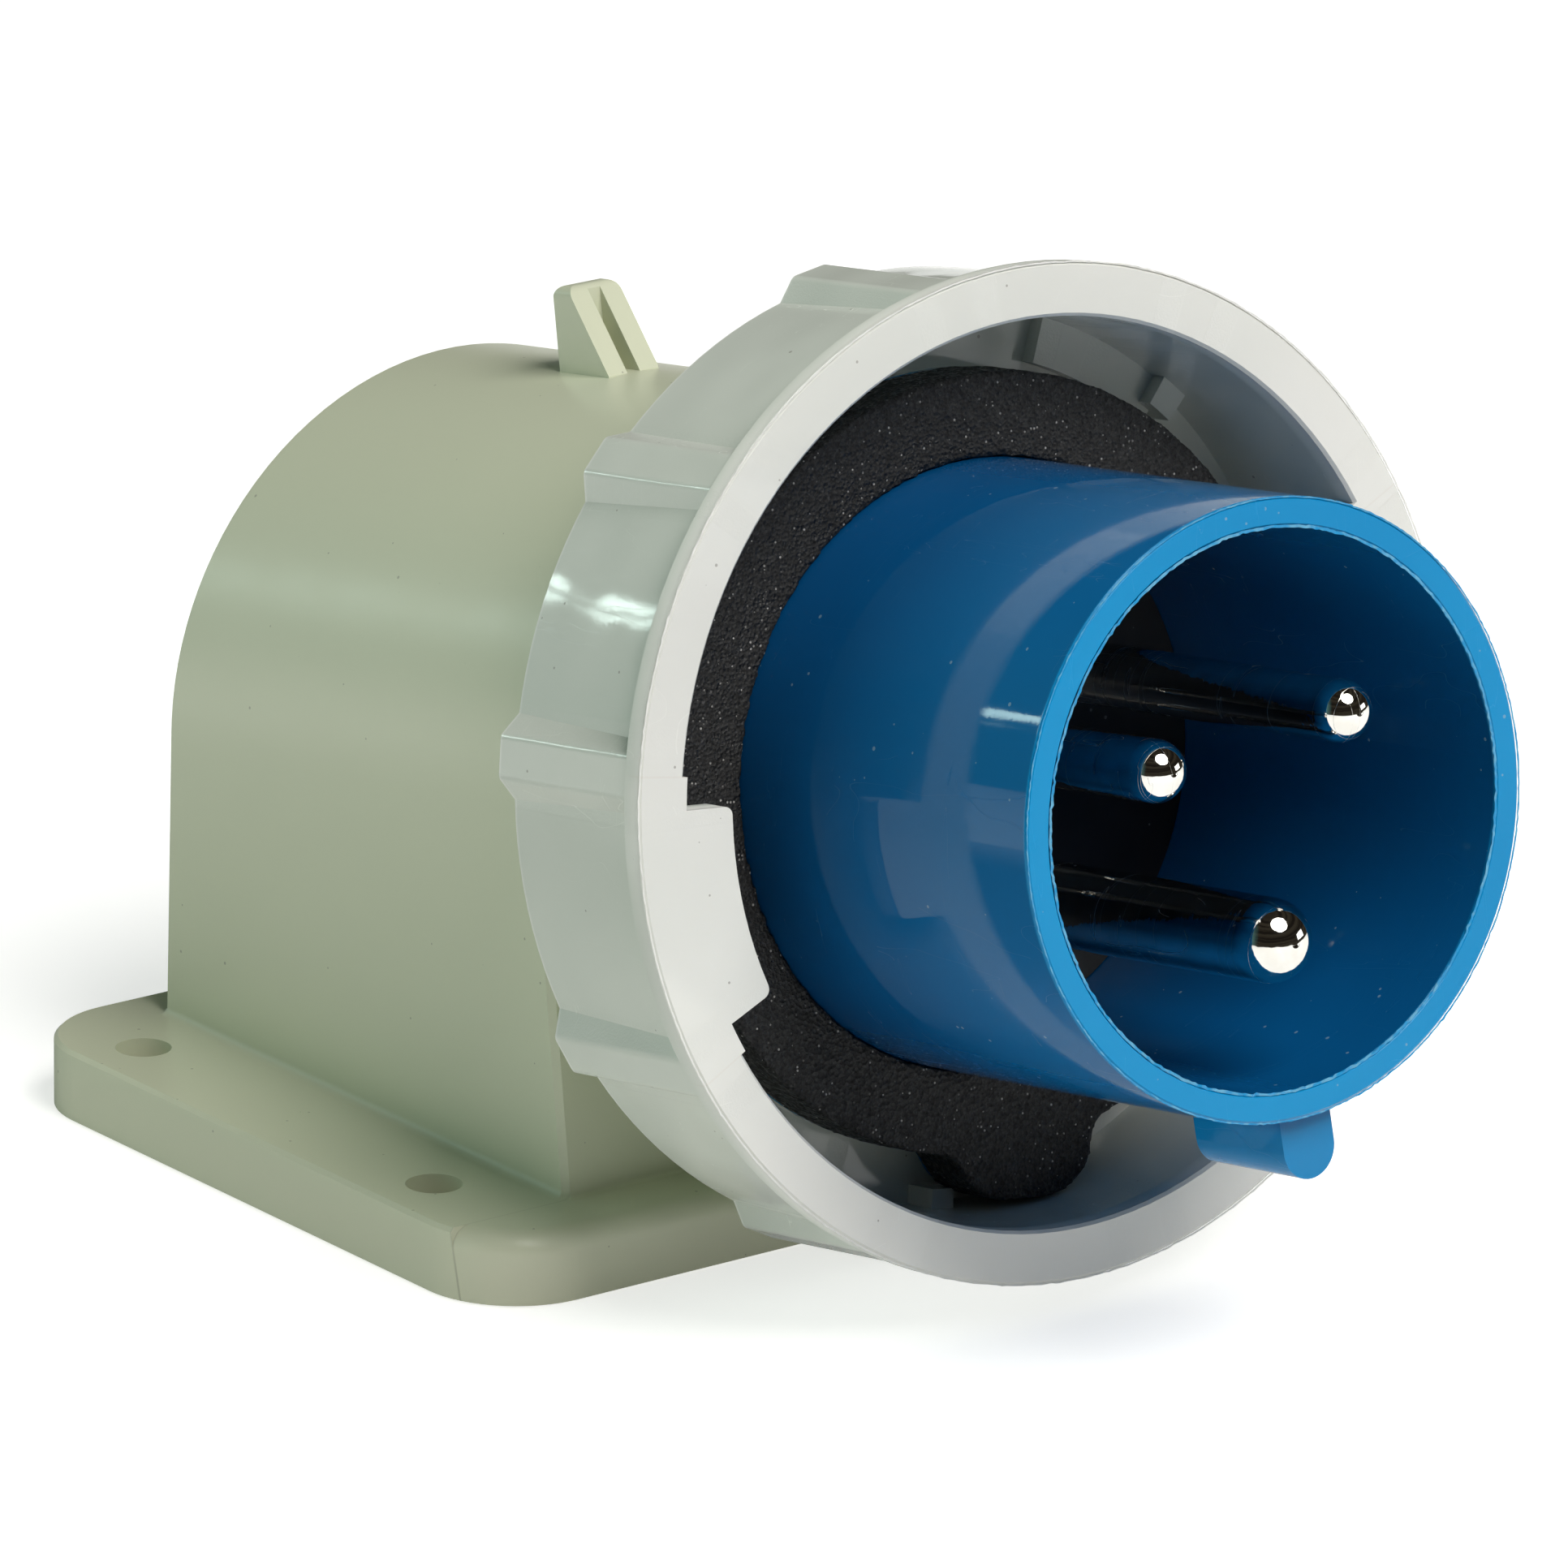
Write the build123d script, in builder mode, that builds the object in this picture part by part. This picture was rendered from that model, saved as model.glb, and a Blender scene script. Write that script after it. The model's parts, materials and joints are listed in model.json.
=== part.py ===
from build123d import *

# Surface-mounting plug inlet, three poles, with a bayonet locking ring.
# Millimetres and degrees. X is to the right seen from the front, Z is up, and the plug points
# to -Y and a little upwards. The origin is the centre of the four fixing holes, on the
# mounting face. Places along the plug are measured from the ring's front face, forwards.

import os
from math import acos, atan2, cos, degrees, hypot, radians, sin, tan

os.makedirs("parts", exist_ok=True)

# Plug axis
plug_tilt = 9.2
ring_reach = 64.9
ring_height = 50.95

# Sleeve
insert_turn = 4.3
sleeve_radius = 29.0
sleeve_wall = 2.8
sleeve_reach = 33.2
sleeve_edge = 0.3
flange_width = 8.0
flange_thickness = 3.4
flange_radius = sleeve_radius + flange_width
key_width = 6.0
key_height = 6.5
key_front_at = 31.0
key_length = 13.0

# Foam ring and the lobe that it shares with the flange
foam_front_at = -9.65
foam_thickness = 3.35
foam_overhang = 0.1
lobe_reach = 5.4
lobe_shift = 0.4
small_lobe_size = 6.5
small_lobe_shift = -4.0
small_lobe_drop = 2.0
lobe_fillet = 2.5
lobe_inset = 0.3

# Locking ring: its bore clears the flange's lobe, and the rest is measured from there
ring_turn = 8.2
lobe_room = 0.2
bore_draft = 0.4
barrel_wall = 3.6
barrel_draft = 0.55
band_step = 1.5
band_width = 2.3
band_edge = 0.3
bore_edge = 0.3
ring_depth = 22.2
ring_floor = 4.0
rib_count = 10
rib_foot = 9.8
rib_top = 4.0
rib_inset = 0.25
rib_rounding = 1.0
rib_sink = 1.0
lug_room = 0.4
lug_angle = 28.3
lug_depth = 3.0
lug_corner = 0.9
gate_angle = 36.6
gate_step = 0.35
thrust_width = 1.5
travel_angle = 45.0
stop_width = 2.6
stop_height = 3.8
stop_rise = 3.8
stop_play_angle = 0.6
land_angle = 22.0
land_centre_angle = 49.0
land_height = 1.7
land_rise = 1.2
catch_width = 3.2
catch_height = 3.45
catch_rise = 2.7

# Neck behind the ring, with the journal that the ring turns on
neck_step = 2.2
journal_step = 1.8
collar_rise = 1.0
collar_length = 5.0
ledge_width = 1.4
polarity_slot = 3.0
polarity_height = 1.3

# Arched body
body_step = 0.4
leg_draft = 1.0
body_wall = 3.0
front_wall_at = -36.6
body_back = 31.4
body_edge = 0.6
foot_rounding = 0.8

# Base flange: as wide as the ring
base_inset = 0.1
base_depth = 79.0
base_thickness = 7.0
base_ahead = 42.2
base_corner = 10.0
front_rounding = 2.2
rear_edge = 0.4
fixing_hole = 5.5
fixing_from_side = 6.5
fixing_pitch_y = 48.0

# Tether nose on the ridge
nose_back_at = -69.2
nose_top_length = 2.3
nose_foot_length = 8.0
nose_height = 8.3
nose_width = 6.0
nose_rounding = 1.1
nose_slot = 1.5
nose_web = 2.6

# Contacts
pin_inset = 13.4
line_diameter = 6.0
earth_diameter = 8.0
pin_reach = 33.4
pin_shoulder = 0.2
pin_collar_length = 2.6
terminal_wall = 1.6
terminal_length = 20.0
wire_bore = 6.0
wire_bore_depth = 14.0
terminal_screw_from_end = 6.5
clamp_thickness = 1.0
clamp_width = 5.0
clamp_length = 8.0
clamp_lift = 1.0

# Carrier and retainer
carrier_depth = 11.1
retainer_thickness = 3.5
retainer_inset = 2.0
barrier_length = 16.0
barrier_thickness = 1.8
barrier_inset = 5.0

# Seals
pin_seal_section = 1.6
flange_seal_section = 1.7
base_seal_width = 3.6
base_seal_depth = 2.5
base_seal_margin = 1.6
groove_corner = 4.0

# Screws: shank diameter, shank length, head diameter, head height
insert_screw = (2.9, 10.0, 5.4, 2.0)
retainer_screw = (2.9, 9.0, 5.0, 1.8)
terminal_screw = (5.0, 4.1, 8.0, 2.6)
insert_screw_from_edge = 4.5
insert_screw_angle = 45.0
insert_screw_count = 4
retainer_screw_from_edge = 4.5
retainer_screw_angle = 55.0
barrier_angle = 90.0
screw_end_room = 0.3
slot_width = 0.9
slot_depth = 1.0

# Clearances
running_gap = 0.08
end_gap = 0.3
fit_gap = 0.1
pin_gap = 0.05

# A cut or a blank goes on this far past what it has to reach
overrun = 1.0
blank_overrun = 10.0

# Two places this near to each other are the same when an edge is chosen
same_place = 0.01

# Radii
sleeve_bore = sleeve_radius - sleeve_wall
key_radius = sleeve_radius + key_height
foam_radius = flange_radius + foam_overhang
ring_bore_back = flange_radius + lobe_reach + lobe_room
ring_bore = ring_bore_back + bore_draft
barrel_front_radius = ring_bore + barrel_wall
barrel_back_radius = barrel_front_radius - barrel_draft
ring_radius = barrel_front_radius + band_step
rib_radius = ring_radius - rib_inset
lug_radius = flange_radius + lug_room
stop_radius = flange_radius + stop_rise
land_radius = flange_radius + land_rise
catch_radius = flange_radius + catch_rise
journal_radius = flange_radius - journal_step
neck_radius = journal_radius - neck_step
collar_radius = flange_radius + collar_rise
neck_bore = sleeve_radius
ledge_bore = neck_bore - ledge_width
carrier_radius = neck_bore - 3 * fit_gap
retainer_radius = neck_bore - retainer_inset
barrier_radius = neck_bore - barrier_inset
body_radius = neck_radius + body_step
pin_circle = sleeve_bore - pin_inset
insert_screw_circle = flange_radius - insert_screw_from_edge
retainer_screw_circle = retainer_radius - retainer_screw_from_edge

# The lobe's two circles: x, y and size in the insert's frame
lobe_big = (lobe_shift, -flange_radius, lobe_reach)
lobe_small = (small_lobe_shift, small_lobe_drop - flange_radius, small_lobe_size)

# Base flange across, and its fixing holes
base_width = 2 * (ring_radius - base_inset)
fixing_pitch_x = base_width - 2 * fixing_from_side

# Places along the plug
flange_front = foam_front_at - foam_thickness
flange_back = flange_front - flange_thickness
collar_front = -ring_depth - end_gap
collar_back = collar_front - collar_length
carrier_back = flange_front - carrier_depth
retainer_back = carrier_back - retainer_thickness

# The plug's plane lies in the ring's front face. The insert and the ring stand turned in it.
plug = Plane(
    origin=(0, -ring_reach, ring_height),
    x_dir=(1, 0, 0),
    z_dir=(0, -cos(radians(plug_tilt)), sin(radians(plug_tilt))),
)
plug_axis = Axis(plug.origin, plug.z_dir)
insert = Plane(plug.origin, x_dir=plug.x_dir.rotate(plug_axis, insert_turn), z_dir=plug.z_dir)
ring = Plane(plug.origin, x_dir=plug.x_dir.rotate(plug_axis, ring_turn), z_dir=plug.z_dir)

# Pins: angle round the plug's axis and diameter. The earth pin stands above the sleeve's key.
pins = {
    "line": (30.0, line_diameter),
    "neutral": (150.0, line_diameter),
    "earth": (270.0, earth_diameter),
}
pole_step = 360 / len(pins)


def half_section(frame):
    """Plane through a frame's z axis: x is the radius and y is the place along the axis."""
    return Plane(origin=frame.origin, x_dir=frame.x_dir, z_dir=-frame.y_dir)


def moved(frame, x, y, z=0.0):
    """The same plane, shifted in its own coordinates."""
    return Plane(origin=frame.from_local_coords((x, y, z)), x_dir=frame.x_dir, z_dir=frame.z_dir)


def around(frame, radius, angle, place=0.0):
    """The same plane, moved to a radius and an angle round its own axis."""
    return moved(frame, radius * cos(radians(angle)), radius * sin(radians(angle)), place)


def outward(frame, radius, angle, place):
    """Plane whose normal points away from the frame's axis, at an angle round it."""
    spot = around(frame, radius, angle, place)
    foot = frame.offset(place).origin
    return Plane(origin=spot.origin, x_dir=frame.z_dir, z_dir=spot.origin - foot)


def place_of(shape):
    """Where a shape lies along the plug, measured from the ring's front face."""
    return plug.to_local_coords(shape.center()).Z


def lobed_outline(frame, radius, inset):
    """Circle with a rounded lobe at the bottom, as the foam and the flange under it have."""
    with BuildSketch() as lobe:
        for x, y, size in (lobe_big, lobe_small):
            with Locations((x, y)):
                Circle(size - inset)
        make_hull()
    with BuildSketch(frame) as outline:
        Circle(radius)
        add(lobe.sketch)
        roots = outline.vertices().filter_by(lambda v: abs(v.center().length - radius) < same_place)
        fillet(roots, radius=lobe_fillet)
    return outline.sketch


def flank_angle(lobe, radius, side):
    """Angle at which one side of a lobe's circle crosses a radius, in the insert's frame."""
    x, y, size = lobe
    size = size - lobe_inset
    reach = hypot(x, y)
    half = acos((radius**2 + reach**2 - size**2) / (2 * radius * reach))
    return degrees(atan2(y, x) + side * half)


def ring_sector(frame, inner, outer, centre, angle, corner=0.0):
    """Annular sector in a frame's plane, centred on an angle, with rounded inner corners."""
    start = centre - angle / 2
    with BuildSketch(frame) as sector:
        with BuildLine():
            inside = CenterArc((0, 0), inner, start, angle)
            outside = CenterArc((0, 0), outer, start, angle)
            Line(inside @ 0, outside @ 0)
            Line(inside @ 1, outside @ 1)
        make_face()
        if corner > 0:
            inner_corners = sector.vertices().sort_by(lambda v: v.center().length)[:2]
            fillet(inner_corners, radius=corner)
    return sector.sketch


def screw(frame, size):
    """Slotted screw: its head's underside lies in the frame and its shank goes back."""
    shank, shank_length, head, height = size
    with BuildPart(frame) as made:
        with BuildSketch(frame):
            Circle(head / 2)
        extrude(amount=height)
        with BuildSketch(frame):
            Circle(shank / 2)
        extrude(amount=-shank_length)
        with BuildSketch(frame.offset(height)):
            Rectangle(head, slot_width)
        extrude(amount=-slot_depth, mode=Mode.SUBTRACT)
    return made.part


def body_section(frame, radius, drop):
    """Arched section: a half circle on legs that spread with the moulding's draft."""
    spread = drop * tan(radians(leg_draft))
    with BuildSketch(frame) as section:
        with BuildLine():
            CenterArc((0, 0), radius, 0, 180)
            Polyline((-radius, 0), (-radius - spread, -drop), (radius + spread, -drop), (radius, 0))
        make_face()
    return section.sketch


# Base flange: the mould parts in the plane of the front wall. Ahead of it the top edge is
# well rounded, behind it nearly sharp.
front_wall = plug.offset(front_wall_at)
base_middle = base_depth / 2 - base_ahead
with BuildPart() as base_front:
    with BuildSketch(Plane.XY):
        with Locations((0, base_middle)):
            RectangleRounded(base_width, base_depth, base_corner)
    extrude(amount=base_thickness)
    fillet(base_front.faces().sort_by(Axis.Z)[-1].edges(), radius=front_rounding)
    split(bisect_by=front_wall, keep=Keep.TOP)

with BuildPart() as base_rear:
    with BuildSketch(Plane.XY):
        with Locations((0, base_middle)):
            RectangleRounded(base_width, base_depth, base_corner)
    extrude(amount=base_thickness)
    chamfer(base_rear.faces().sort_by(Axis.Z)[-1].edges(), length=rear_edge)
    split(bisect_by=front_wall, keep=Keep.BOTTOM)

# Arched body, solid for now: it follows the plug axis from the front wall and ends in an
# upright back wall.
leg_drop = ring_height + blank_overrun
body_length = ring_reach + body_back + blank_overrun
with BuildPart() as arch:
    extrude(body_section(front_wall, body_radius, leg_drop), amount=-body_length)
    split(bisect_by=Plane(origin=(0, body_back, 0), z_dir=(0, 1, 0)), keep=Keep.BOTTOM)
    split(bisect_by=Plane.XY.offset(base_thickness / 2), keep=Keep.TOP)
    rims = arch.faces().sort_by(Axis.Y)[-1].edges() - arch.faces().sort_by(Axis.Z)[0].edges()
    chamfer(rims, length=body_edge)
    front_corners = arch.faces().sort_by(Axis.Y)[0].edges().filter_by(GeomType.LINE).sort_by(Axis.Z)[1:]
    chamfer(front_corners, length=body_edge)

# What the core leaves hollow: the inside of the body, open below for the cable.
with BuildPart() as cavity:
    inner_wall = front_wall.offset(-body_wall)
    extrude(body_section(inner_wall, body_radius - body_wall, leg_drop), amount=-body_length)
    split(bisect_by=Plane(origin=(0, body_back - body_wall, 0), z_dir=(0, 1, 0)), keep=Keep.BOTTOM)

# Tether nose: an upright back and a front that slopes down to the ridge, with a slot in it.
nose_side = Plane(origin=plug.origin, x_dir=plug.z_dir, z_dir=-plug.x_dir)
nose_top = body_radius + nose_height
nose_root = body_radius - body_wall / 2
with BuildPart() as nose:
    with BuildSketch(nose_side):
        with BuildLine():
            Polyline(
                (nose_back_at, nose_root),
                (nose_back_at, nose_top),
                (nose_back_at + nose_top_length, nose_top),
                (nose_back_at + nose_foot_length, body_radius),
                (nose_back_at + nose_foot_length, nose_root),
                close=True,
            )
        make_face()
    extrude(amount=nose_width / 2, both=True)
    crown = nose.edges().filter_by(lambda e: plug.to_local_coords(e.center()).Y > nose_top - same_place)
    fillet(crown, radius=nose_rounding)
    with BuildSketch(nose_side):
        with BuildLine():
            Polyline(
                (nose_back_at + nose_web, body_radius),
                (nose_back_at + nose_web, nose_top),
                (nose_back_at + nose_foot_length + overrun, nose_top),
                (nose_back_at + nose_foot_length + overrun, body_radius),
                close=True,
            )
        make_face()
    extrude(amount=nose_slot / 2, both=True, mode=Mode.SUBTRACT)

# Neck: a round tube from the front wall, a collar behind the ring and the ring's journal.
with BuildPart() as neck:
    with BuildSketch(half_section(plug)):
        with BuildLine():
            Polyline(
                (0, front_wall_at - body_wall / 2),
                (neck_radius, front_wall_at - body_wall / 2),
                (neck_radius, collar_back),
                (collar_radius, collar_back),
                (collar_radius, collar_front),
                (journal_radius, collar_front),
                (journal_radius, flange_back),
                (0, flange_back),
                close=True,
            )
        make_face()
    revolve(axis=plug_axis)

# Base seal: its groove runs round the opening that the cavity leaves in the base.
opening_half = body_radius - body_wall + ring_height * tan(radians(leg_draft))
opening_front_place = front_wall_at - body_wall + ring_height * sin(radians(plug_tilt))
opening_front = -ring_reach - opening_front_place / cos(radians(plug_tilt))
opening_back = body_back - body_wall
groove_middle = (opening_front + opening_back) / 2
groove_x = 2 * (opening_half + base_seal_margin)
groove_y = opening_back - opening_front + 2 * base_seal_margin
groove_width = base_seal_width + 2 * fit_gap


def seal_track(gap):
    """Rounded frame round the base opening: the groove, or the seal with a gap to its walls."""
    outer = groove_width - gap
    with BuildSketch(Plane.XY) as track:
        with Locations((0, groove_middle)):
            RectangleRounded(groove_x + 2 * outer, groove_y + 2 * outer, groove_corner + outer)
            inside = (groove_x + 2 * gap, groove_y + 2 * gap, groove_corner + gap)
            RectangleRounded(*inside, mode=Mode.SUBTRACT)
    return track.sketch


foot_room_x = base_width / 2 - base_corner
foot_room_y = base_depth / 2 - front_rounding - overrun


def is_foot(edge):
    """Whether an edge is where the body's walls meet the top of the base, not the base's rim."""
    spot = edge.center()
    level = abs(spot.Z - base_thickness) < same_place
    return level and abs(spot.X) < foot_room_x and abs(spot.Y - base_middle) < foot_room_y


head_seat = flange_front - insert_screw[3] - fit_gap
pilot_depth = flange_back - head_seat + insert_screw[1] + screw_end_room
seal_corner = flange_seal_section + 2 * pin_gap
with BuildPart() as housing:
    add(base_front.part)
    add(base_rear.part)
    add(arch.part)
    # The walls run into the base with a small rounding.
    fillet(housing.edges().filter_by(is_foot), radius=foot_rounding)
    add(nose.part)
    add(neck.part)
    add(cavity.part, mode=Mode.SUBTRACT)
    # Bore of the neck with its slot, and behind it a ledge that backs the carrier.
    with BuildSketch(insert.offset(flange_back)):
        Circle(neck_bore)
        with Locations((0, neck_bore)):
            Rectangle(polarity_slot, 2 * polarity_height)
    extrude(amount=carrier_back - fit_gap - flange_back, mode=Mode.SUBTRACT)
    with BuildSketch(plug.offset(flange_back)):
        Circle(ledge_bore)
    extrude(amount=front_wall_at - body_wall - overrun - flange_back, mode=Mode.SUBTRACT)
    # Corner for the seal behind the flange.
    with BuildSketch(plug.offset(flange_back)):
        Circle(carrier_radius + seal_corner)
    extrude(amount=-seal_corner, mode=Mode.SUBTRACT)
    # Pilot holes of the screws that hold the sleeve's flange.
    with Locations(insert.offset(flange_back)):
        with PolarLocations(insert_screw_circle, insert_screw_count, start_angle=insert_screw_angle):
            Hole(radius=insert_screw[0] / 2 + pin_gap, depth=pilot_depth)
    # Fixing holes, and the groove of the seal under the base.
    with Locations(Plane.XY.offset(base_thickness)):
        with GridLocations(fixing_pitch_x, fixing_pitch_y, 2, 2):
            Hole(radius=fixing_hole / 2, depth=base_thickness)
    extrude(seal_track(0), amount=base_seal_depth, mode=Mode.SUBTRACT)
housing.part.label = "housing"
export_step(housing.part, "parts/housing.step")

with BuildPart() as base_seal:
    extrude(seal_track(fit_gap), amount=base_seal_depth)
base_seal.part.label = "base_seal"
export_step(base_seal.part, "parts/base_seal.step")

# Sleeve: a plain tube on a lobed flange, with the key along its underside.
key_tip = key_radius - key_width / 2
with BuildPart() as sleeve:
    with BuildSketch(plug.offset(flange_back)):
        Circle(sleeve_radius)
    extrude(amount=sleeve_reach - flange_back)
    with BuildSketch(insert.offset(key_front_at - key_length)):
        with Locations((0, -key_tip)):
            Circle(key_width / 2)
        with Locations((0, -(key_tip + sleeve_bore) / 2)):
            Rectangle(key_width, key_tip - sleeve_bore)
    extrude(amount=key_length)
    extrude(lobed_outline(insert.offset(flange_back), flange_radius, lobe_inset), amount=flange_thickness)
    with BuildSketch(plug.offset(flange_back)):
        Circle(sleeve_bore)
    extrude(amount=sleeve_reach - flange_back, mode=Mode.SUBTRACT)
    chamfer(sleeve.edges().group_by(place_of)[-1], length=sleeve_edge)
    with Locations(insert.offset(flange_front)):
        with PolarLocations(insert_screw_circle, insert_screw_count, start_angle=insert_screw_angle):
            CounterBoreHole(
                radius=insert_screw[0] / 2 + fit_gap,
                counter_bore_radius=insert_screw[2] / 2 + fit_gap,
                counter_bore_depth=insert_screw[3] + fit_gap,
                depth=flange_thickness,
            )
sleeve.part.label = "sleeve"
export_step(sleeve.part, "parts/sleeve.step")

with BuildPart() as insert_screws:
    for number in range(insert_screw_count):
        angle = insert_screw_angle + number * 360 / insert_screw_count
        add(screw(around(insert, insert_screw_circle, angle, head_seat), insert_screw))
insert_screws.part.label = "insert_screws"
export_step(insert_screws.part, "parts/insert_screws.step")

with BuildPart() as front_gasket:
    extrude(lobed_outline(insert.offset(flange_front), foam_radius, 0), amount=foam_thickness)
    with BuildSketch(plug.offset(flange_front)):
        Circle(sleeve_radius + fit_gap)
    extrude(amount=foam_thickness, mode=Mode.SUBTRACT)
front_gasket.part.label = "front_gasket"
export_step(front_gasket.part, "parts/front_gasket.step")

with BuildPart() as flange_seal:
    with BuildSketch(plug.offset(flange_back - pin_gap)):
        Circle(carrier_radius + pin_gap + flange_seal_section)
        Circle(carrier_radius + pin_gap, mode=Mode.SUBTRACT)
    extrude(amount=-flange_seal_section)
flange_seal.part.label = "flange_seal"
export_step(flange_seal.part, "parts/flange_seal.step")

# Carrier: its front boss is the sleeve's black floor, its disc sits in the neck's bore.
seal_back = carrier_back + pin_collar_length
seal_pocket = pin_seal_section + 2 * pin_gap
pin_collar = seal_pocket - pin_gap
with BuildPart() as contact_carrier:
    with BuildSketch(plug.offset(flange_front)):
        Circle(sleeve_bore - fit_gap)
    extrude(amount=-flange_thickness)
    with BuildSketch(plug.offset(flange_back)):
        Circle(carrier_radius)
    extrude(amount=carrier_back - flange_back)
    with BuildSketch(insert.offset(carrier_back)):
        with Locations((0, neck_bore)):
            Rectangle(polarity_slot - 2 * fit_gap, 2 * (polarity_height - fit_gap))
    extrude(amount=flange_back - seal_corner - fit_gap - carrier_back)
    for angle, diameter in pins.values():
        spot = around(insert, pin_circle, angle)
        shank = diameter / 2 + pin_shoulder
        with BuildSketch(spot.offset(carrier_back)):
            Circle(shank + pin_gap)
        extrude(amount=carrier_depth, mode=Mode.SUBTRACT)
        with BuildSketch(spot.offset(carrier_back)):
            Circle(shank + seal_pocket)
        extrude(amount=pin_collar_length + seal_pocket, mode=Mode.SUBTRACT)
    with BuildSketch(insert.offset(carrier_back)):
        with PolarLocations(retainer_screw_circle, len(pins), start_angle=retainer_screw_angle):
            Circle(retainer_screw[0] / 2 + pin_gap)
    extrude(amount=retainer_screw[1] - retainer_thickness + screw_end_room, mode=Mode.SUBTRACT)
contact_carrier.part.label = "contact_carrier"
export_step(contact_carrier.part, "parts/contact_carrier.step")

# Pins: a hemispherical tip, a collar that the retainer holds, and a bored terminal with its
# clamping screw and pressure plate.
terminal_radius = wire_bore / 2 + terminal_wall
terminal_back = carrier_back - terminal_length
screw_place = terminal_back + terminal_screw_from_end
clamp_top = pin_circle + clamp_lift
for pole, (angle, diameter) in pins.items():
    radius = diameter / 2
    shank = radius + pin_shoulder
    spot = around(insert, pin_circle, angle)
    with BuildPart() as pin:
        with BuildSketch(half_section(spot)):
            with BuildLine():
                tip = CenterArc((0, pin_reach - radius), radius, 0, 90)
                Polyline(
                    tip @ 0,
                    (radius, flange_front),
                    (shank, flange_front),
                    (shank, seal_back),
                    (shank + pin_collar, seal_back),
                    (shank + pin_collar, carrier_back),
                    (terminal_radius, carrier_back),
                    (terminal_radius, terminal_back),
                    (0, terminal_back),
                    tip @ 1,
                )
            make_face()
        revolve(axis=Axis(spot.origin, spot.z_dir))
        with BuildSketch(spot.offset(terminal_back)):
            Circle(wire_bore / 2)
        extrude(amount=wire_bore_depth, mode=Mode.SUBTRACT)
        with BuildSketch(outward(insert, pin_circle, angle, screw_place)):
            Circle(terminal_screw[0] / 2 + pin_gap)
        extrude(amount=terminal_radius, mode=Mode.SUBTRACT)
    pin.part.label = "pin_" + pole
    export_step(pin.part, "parts/pin_" + pole + ".step")

    with BuildPart() as pin_seal:
        with BuildSketch(spot.offset(seal_back + pin_gap)):
            Circle(shank + pin_gap + pin_seal_section)
            Circle(shank + pin_gap, mode=Mode.SUBTRACT)
        extrude(amount=pin_seal_section)
    pin_seal.part.label = "pin_seal_" + pole
    export_step(pin_seal.part, "parts/pin_seal_" + pole + ".step")

    with BuildPart() as clamp:
        with BuildSketch(outward(insert, clamp_top, angle, screw_place)):
            Rectangle(clamp_length, clamp_width)
        extrude(amount=-clamp_thickness)
    clamp.part.label = "clamp_" + pole
    export_step(clamp.part, "parts/clamp_" + pole + ".step")

with BuildPart() as terminal_screws:
    for angle, _ in pins.values():
        add(screw(outward(insert, clamp_top + terminal_screw[1], angle, screw_place), terminal_screw))
terminal_screws.part.label = "terminal_screws"
export_step(terminal_screws.part, "parts/terminal_screws.step")

# Retainer: the plate that holds the pins' collars, with barriers between the terminals.
with BuildPart() as pin_retainer:
    with BuildSketch(insert.offset(retainer_back)):
        Circle(retainer_radius)
        with PolarLocations(pin_circle, len(pins), start_angle=pins["line"][0]):
            Circle(terminal_radius + fit_gap, mode=Mode.SUBTRACT)
        with PolarLocations(retainer_screw_circle, len(pins), start_angle=retainer_screw_angle):
            Circle(retainer_screw[0] / 2 + fit_gap, mode=Mode.SUBTRACT)
    extrude(amount=retainer_thickness)
    with BuildSketch(insert.offset(retainer_back)):
        with PolarLocations(barrier_radius / 2, len(pins), start_angle=barrier_angle):
            Rectangle(barrier_radius, barrier_thickness)
    extrude(amount=-barrier_length)
pin_retainer.part.label = "pin_retainer"
export_step(pin_retainer.part, "parts/pin_retainer.step")

with BuildPart() as retainer_screws:
    for number in range(len(pins)):
        angle = retainer_screw_angle + number * pole_step
        seat = around(insert, retainer_screw_circle, angle, retainer_back)
        add(screw(Plane(origin=seat.origin, x_dir=seat.x_dir, z_dir=-seat.z_dir), retainer_screw))
retainer_screws.part.label = "retainer_screws"
export_step(retainer_screws.part, "parts/retainer_screws.step")

# Locking ring: a drafted barrel behind a front band, a floor that turns on the journal, and a
# narrow rim on the floor that bears on the flange.
floor_front = ring_floor - ring_depth
ring_journal = journal_radius + running_gap
rim_front = flange_back - end_gap


# Grips: ten wide ribs with rounded tops, from the barrel's back edge into the band.
with BuildPart() as grip:
    with BuildSketch(ring.offset(-ring_depth)) as rib_section:
        foot = barrel_back_radius - rib_sink
        with BuildLine():
            Polyline(
                (foot, -rib_foot / 2),
                (rib_radius, -rib_top / 2),
                (rib_radius, rib_top / 2),
                (foot, rib_foot / 2),
                close=True,
            )
        make_face()
        fillet(rib_section.vertices().group_by(Axis.X)[-1], radius=rib_rounding)
    extrude(amount=ring_depth - band_width / 2)

# Stops: one stands beside the flange's lobe at rest, the other meets it after the travel.
stop_angle = degrees(stop_width / ring_bore)
frame_turn = insert_turn - ring_turn
clear_of_lobe = stop_play_angle + stop_angle / 2
rest_stop = flank_angle(lobe_small, stop_radius, -1) + frame_turn - clear_of_lobe
end_stop = flank_angle(lobe_big, stop_radius, 1) + frame_turn + clear_of_lobe + travel_angle
catch_angle = degrees(catch_width / ring_bore)
wall_middle = (ring_bore + barrel_back_radius) / 2

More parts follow.
